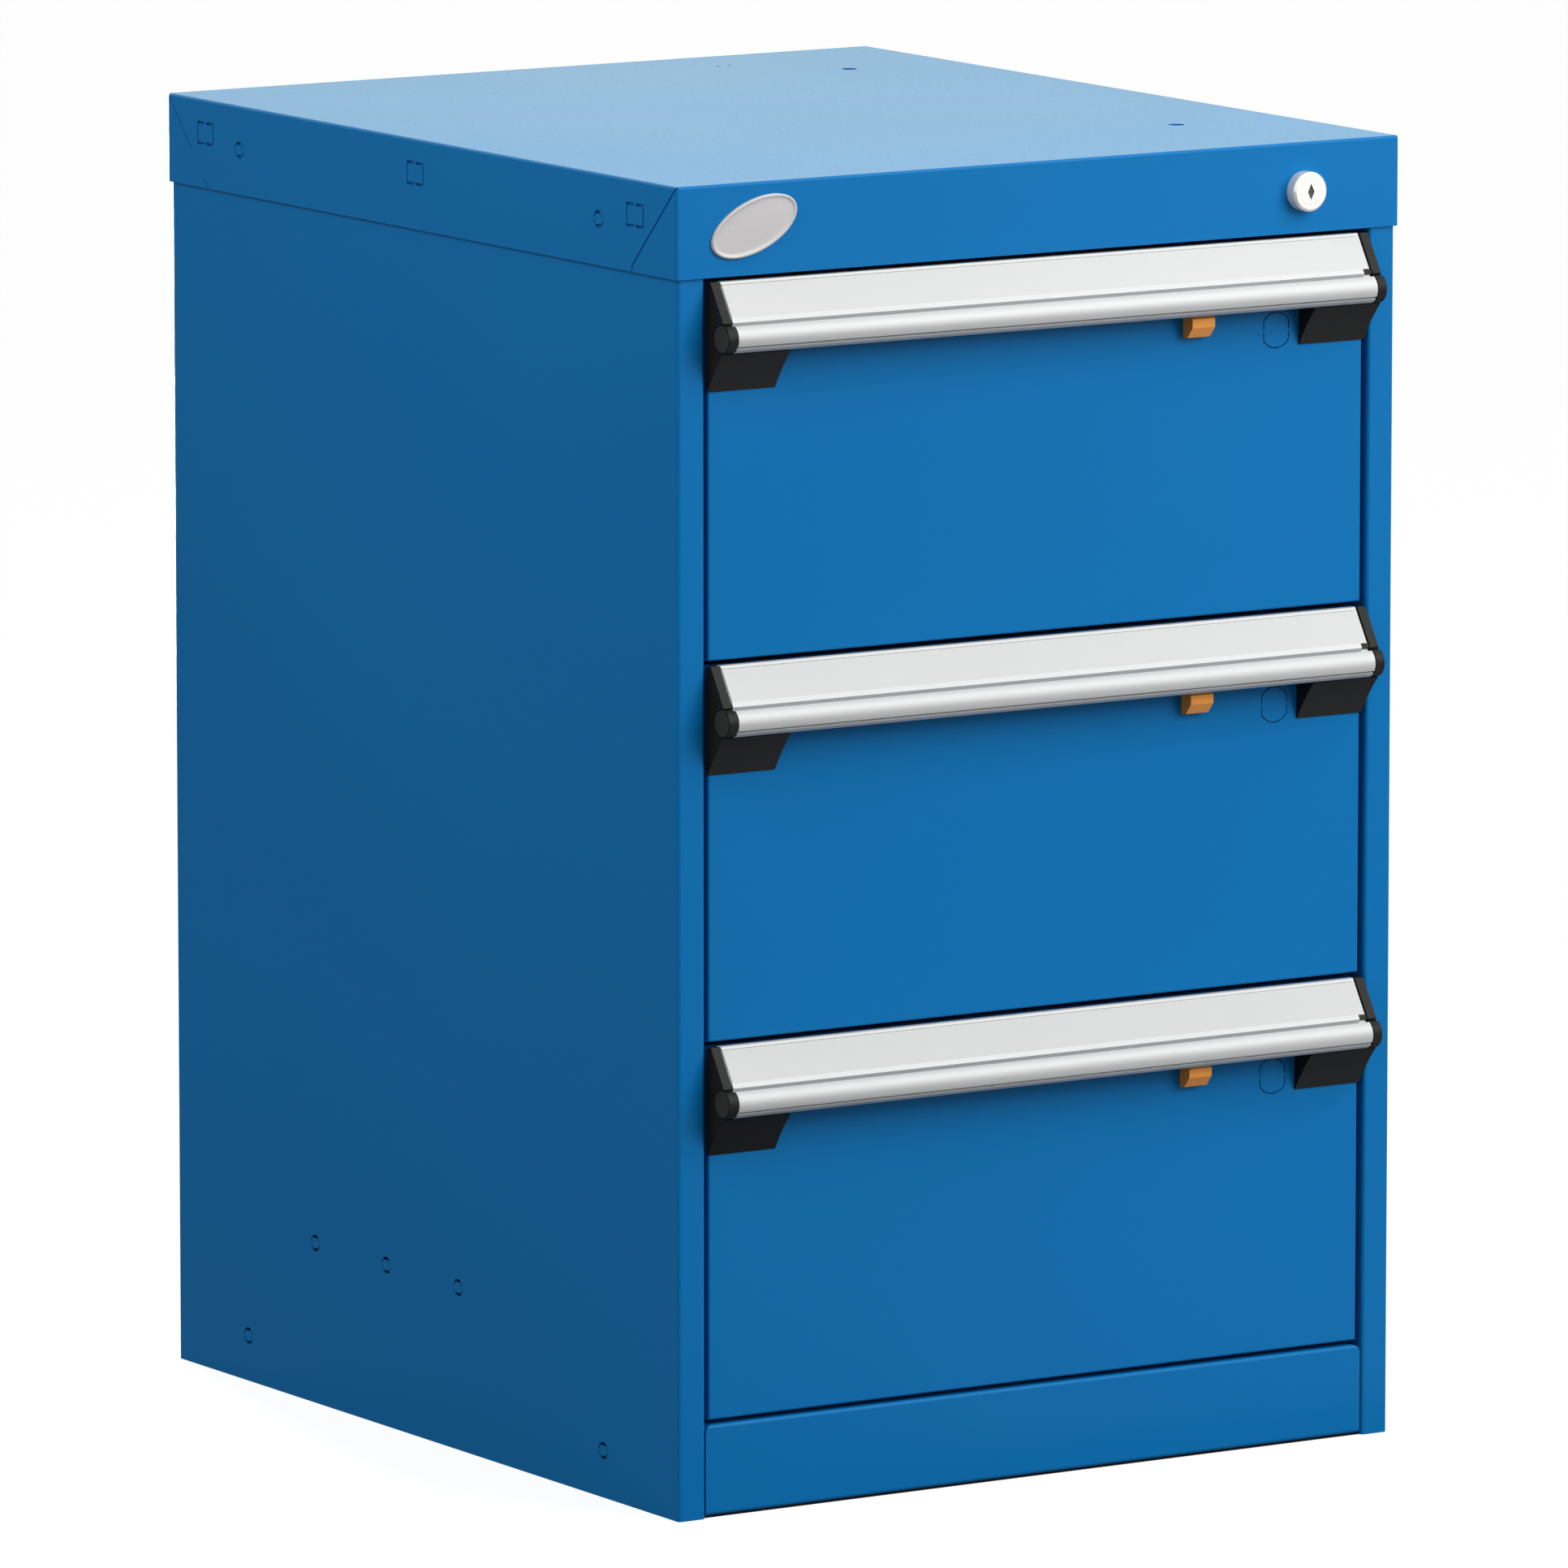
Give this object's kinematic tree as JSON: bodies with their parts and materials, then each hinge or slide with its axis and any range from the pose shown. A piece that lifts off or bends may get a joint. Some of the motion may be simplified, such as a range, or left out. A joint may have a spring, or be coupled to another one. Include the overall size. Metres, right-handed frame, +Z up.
{
  "type": "steel drawer cabinet",
  "caption": "Floor-standing steel cabinet with stacked drawers on telescopic roller slides, full-width pull handles with label faces, drawer latches and a cam lock in its folded top cap.",
  "frame": {"origin": "on the floor, at the middle of the plan box that the closed cabinet and its handles fill", "axes": "+X to the cabinet's right as one faces its drawers from the front, +Y from the drawers to the back, +Z up"},
  "size_m": [0.4572, 0.5528, 0.7112],
  "materials": {
    "housing_paint": "fine orange-peel powder coat, semi-gloss blue",
    "drawer_paint": "fine orange-peel powder coat, semi-gloss blue",
    "tray_paint": "light grey powder coat, satin",
    "handle_aluminium": "fine-drawn, clear anodised",
    "label_card": "plain white card, matt",
    "black_plastic": "moulded, fine texture",
    "latch_plastic": "moulded, semi-gloss orange",
    "slide_steel": "bright zinc plate",
    "roller_nylon": "natural nylon, satin",
    "lock_chrome": "bright chrome"
  },
  "bodies": {
    "housing": {"left_side_panel": "housing_paint", "right_side_panel": "housing_paint", "top_cap": "housing_paint", "back_panel": "housing_paint", "bottom_pan": "housing_paint", "base_plinth": "housing_paint", "left_cabinet_rails": "slide_steel", "right_cabinet_rails": "slide_steel", "lock_cylinder": "lock_chrome", "lock_nut": "slide_steel"},
    "lock_plug": {"lock_plug": "lock_chrome", "lock_cam": "slide_steel"},
    "lock_bar": {"lock_bar": "slide_steel"},
    "bottom_drawer": {"bottom_drawer_tray": "tray_paint", "bottom_drawer_front": "drawer_paint", "bottom_handle": "handle_aluminium", "bottom_label_strip": "label_card", "bottom_left_end_cap": "black_plastic", "bottom_right_end_cap": "black_plastic", "bottom_left_runner": "slide_steel", "bottom_right_runner": "slide_steel"},
    "bottom_carriages": {"bottom_left_carriage": "slide_steel", "bottom_right_carriage": "slide_steel"},
    "bottom_latch": {"bottom_latch": "latch_plastic"},
    "bottom_rail_rollers": {"bottom_rail_rollers": "roller_nylon"},
    "bottom_carriage_rear_rollers": {"bottom_carriage_rear_rollers": "roller_nylon"},
    "bottom_carriage_front_rollers": {"bottom_carriage_front_rollers": "roller_nylon"},
    "bottom_drawer_rollers": {"bottom_drawer_rollers": "roller_nylon"},
    "middle_drawer": {"middle_drawer_tray": "tray_paint", "middle_drawer_front": "drawer_paint", "middle_handle": "handle_aluminium", "middle_label_strip": "label_card", "middle_left_end_cap": "black_plastic", "middle_right_end_cap": "black_plastic", "middle_left_runner": "slide_steel", "middle_right_runner": "slide_steel"},
    "middle_carriages": {"middle_left_carriage": "slide_steel", "middle_right_carriage": "slide_steel"},
    "middle_latch": {"middle_latch": "latch_plastic"},
    "middle_rail_rollers": {"middle_rail_rollers": "roller_nylon"},
    "middle_carriage_rear_rollers": {"middle_carriage_rear_rollers": "roller_nylon"},
    "middle_carriage_front_rollers": {"middle_carriage_front_rollers": "roller_nylon"},
    "middle_drawer_rollers": {"middle_drawer_rollers": "roller_nylon"},
    "top_drawer": {"top_drawer_tray": "tray_paint", "top_drawer_front": "drawer_paint", "top_handle": "handle_aluminium", "top_label_strip": "label_card", "top_left_end_cap": "black_plastic", "top_right_end_cap": "black_plastic", "top_left_runner": "slide_steel", "top_right_runner": "slide_steel"},
    "top_carriages": {"top_left_carriage": "slide_steel", "top_right_carriage": "slide_steel"},
    "top_latch": {"top_latch": "latch_plastic"},
    "top_rail_rollers": {"top_rail_rollers": "roller_nylon"},
    "top_carriage_rear_rollers": {"top_carriage_rear_rollers": "roller_nylon"},
    "top_carriage_front_rollers": {"top_carriage_front_rollers": "roller_nylon"},
    "top_drawer_rollers": {"top_drawer_rollers": "roller_nylon"}
  },
  "joints": [
    {"name": "lock_turn", "type": "hinge", "parent": "housing", "child": "lock_plug", "pos_m": [0.1667, -0.257, 0.685], "axis": [0, -1, 0], "range_deg": [0, 90]},
    {"name": "lock_bar_lift", "type": "slide", "parent": "housing", "child": "lock_bar", "axis": [0, 0, 1], "range_m": [0, 0.01131]},
    {"name": "bottom_drawer_slide", "type": "slide", "parent": "housing", "child": "bottom_drawer", "axis": [0, -1, 0], "range_m": [0, 0.4572]},
    {"name": "bottom_carriages_slide", "type": "slide", "parent": "housing", "child": "bottom_carriages", "axis": [0, -1, 0], "range_m": [0, 0.2286]},
    {"name": "bottom_latch_slide", "type": "slide", "parent": "bottom_drawer", "child": "bottom_latch", "axis": [1, 0, 0], "range_m": [0, 0.008]},
    {"name": "bottom_rail_rollers_spin", "type": "hinge", "parent": "housing", "child": "bottom_rail_rollers", "pos_m": [0, -0.225, 0.0851], "axis": [1, 0, 0], "continuous": true},
    {"name": "bottom_carriage_rear_rollers_spin", "type": "hinge", "parent": "bottom_carriages", "child": "bottom_carriage_rear_rollers", "pos_m": [0, 0.2519, 0.0866], "axis": [1, 0, 0], "continuous": true},
    {"name": "bottom_carriage_front_rollers_spin", "type": "hinge", "parent": "bottom_carriages", "child": "bottom_carriage_front_rollers", "pos_m": [0, -0.224, 0.0851], "axis": [1, 0, 0], "continuous": true},
    {"name": "bottom_drawer_rollers_spin", "type": "hinge", "parent": "bottom_drawer", "child": "bottom_drawer_rollers", "pos_m": [0, 0.2159, 0.0866], "axis": [1, 0, 0], "continuous": true},
    {"name": "middle_drawer_slide", "type": "slide", "parent": "housing", "child": "middle_drawer", "axis": [0, -1, 0], "range_m": [0, 0.4572]},
    {"name": "middle_carriages_slide", "type": "slide", "parent": "housing", "child": "middle_carriages", "axis": [0, -1, 0], "range_m": [0, 0.2286]},
    {"name": "middle_latch_slide", "type": "slide", "parent": "middle_drawer", "child": "middle_latch", "axis": [1, 0, 0], "range_m": [0, 0.008]},
    {"name": "middle_rail_rollers_spin", "type": "hinge", "parent": "housing", "child": "middle_rail_rollers", "pos_m": [0, -0.225, 0.2883], "axis": [1, 0, 0], "continuous": true},
    {"name": "middle_carriage_rear_rollers_spin", "type": "hinge", "parent": "middle_carriages", "child": "middle_carriage_rear_rollers", "pos_m": [0, 0.2519, 0.2898], "axis": [1, 0, 0], "continuous": true},
    {"name": "middle_carriage_front_rollers_spin", "type": "hinge", "parent": "middle_carriages", "child": "middle_carriage_front_rollers", "pos_m": [0, -0.224, 0.2883], "axis": [1, 0, 0], "continuous": true},
    {"name": "middle_drawer_rollers_spin", "type": "hinge", "parent": "middle_drawer", "child": "middle_drawer_rollers", "pos_m": [0, 0.2159, 0.2898], "axis": [1, 0, 0], "continuous": true},
    {"name": "top_drawer_slide", "type": "slide", "parent": "housing", "child": "top_drawer", "axis": [0, -1, 0], "range_m": [0, 0.4572]},
    {"name": "top_carriages_slide", "type": "slide", "parent": "housing", "child": "top_carriages", "axis": [0, -1, 0], "range_m": [0, 0.2286]},
    {"name": "top_latch_slide", "type": "slide", "parent": "top_drawer", "child": "top_latch", "axis": [1, 0, 0], "range_m": [0, 0.008]},
    {"name": "top_rail_rollers_spin", "type": "hinge", "parent": "housing", "child": "top_rail_rollers", "pos_m": [0, -0.225, 0.4915], "axis": [1, 0, 0], "continuous": true},
    {"name": "top_carriage_rear_rollers_spin", "type": "hinge", "parent": "top_carriages", "child": "top_carriage_rear_rollers", "pos_m": [0, 0.2519, 0.493], "axis": [1, 0, 0], "continuous": true},
    {"name": "top_carriage_front_rollers_spin", "type": "hinge", "parent": "top_carriages", "child": "top_carriage_front_rollers", "pos_m": [0, -0.224, 0.4915], "axis": [1, 0, 0], "continuous": true},
    {"name": "top_drawer_rollers_spin", "type": "hinge", "parent": "top_drawer", "child": "top_drawer_rollers", "pos_m": [0, 0.2159, 0.493], "axis": [1, 0, 0], "continuous": true}
  ],
  "couplings": [
    {"joint": "lock_turn", "follows": "lock_bar_lift", "rad_per_m": 138.84},
    {"joint": "bottom_carriages_slide", "follows": "bottom_drawer_slide", "ratio": 0.5},
    {"joint": "bottom_rail_rollers_spin", "follows": "bottom_drawer_slide", "rad_per_m": 62.5},
    {"joint": "bottom_carriage_rear_rollers_spin", "follows": "bottom_drawer_slide", "rad_per_m": 50},
    {"joint": "bottom_carriage_front_rollers_spin", "follows": "bottom_drawer_slide", "rad_per_m": 62.5},
    {"joint": "bottom_drawer_rollers_spin", "follows": "bottom_drawer_slide", "rad_per_m": 50},
    {"joint": "middle_carriages_slide", "follows": "middle_drawer_slide", "ratio": 0.5},
    {"joint": "middle_rail_rollers_spin", "follows": "middle_drawer_slide", "rad_per_m": 62.5},
    {"joint": "middle_carriage_rear_rollers_spin", "follows": "middle_drawer_slide", "rad_per_m": 50},
    {"joint": "middle_carriage_front_rollers_spin", "follows": "middle_drawer_slide", "rad_per_m": 62.5},
    {"joint": "middle_drawer_rollers_spin", "follows": "middle_drawer_slide", "rad_per_m": 50},
    {"joint": "top_carriages_slide", "follows": "top_drawer_slide", "ratio": 0.5},
    {"joint": "top_rail_rollers_spin", "follows": "top_drawer_slide", "rad_per_m": 62.5},
    {"joint": "top_carriage_rear_rollers_spin", "follows": "top_drawer_slide", "rad_per_m": 50},
    {"joint": "top_carriage_front_rollers_spin", "follows": "top_drawer_slide", "rad_per_m": 62.5},
    {"joint": "top_drawer_rollers_spin", "follows": "top_drawer_slide", "rad_per_m": 50}
  ]
}
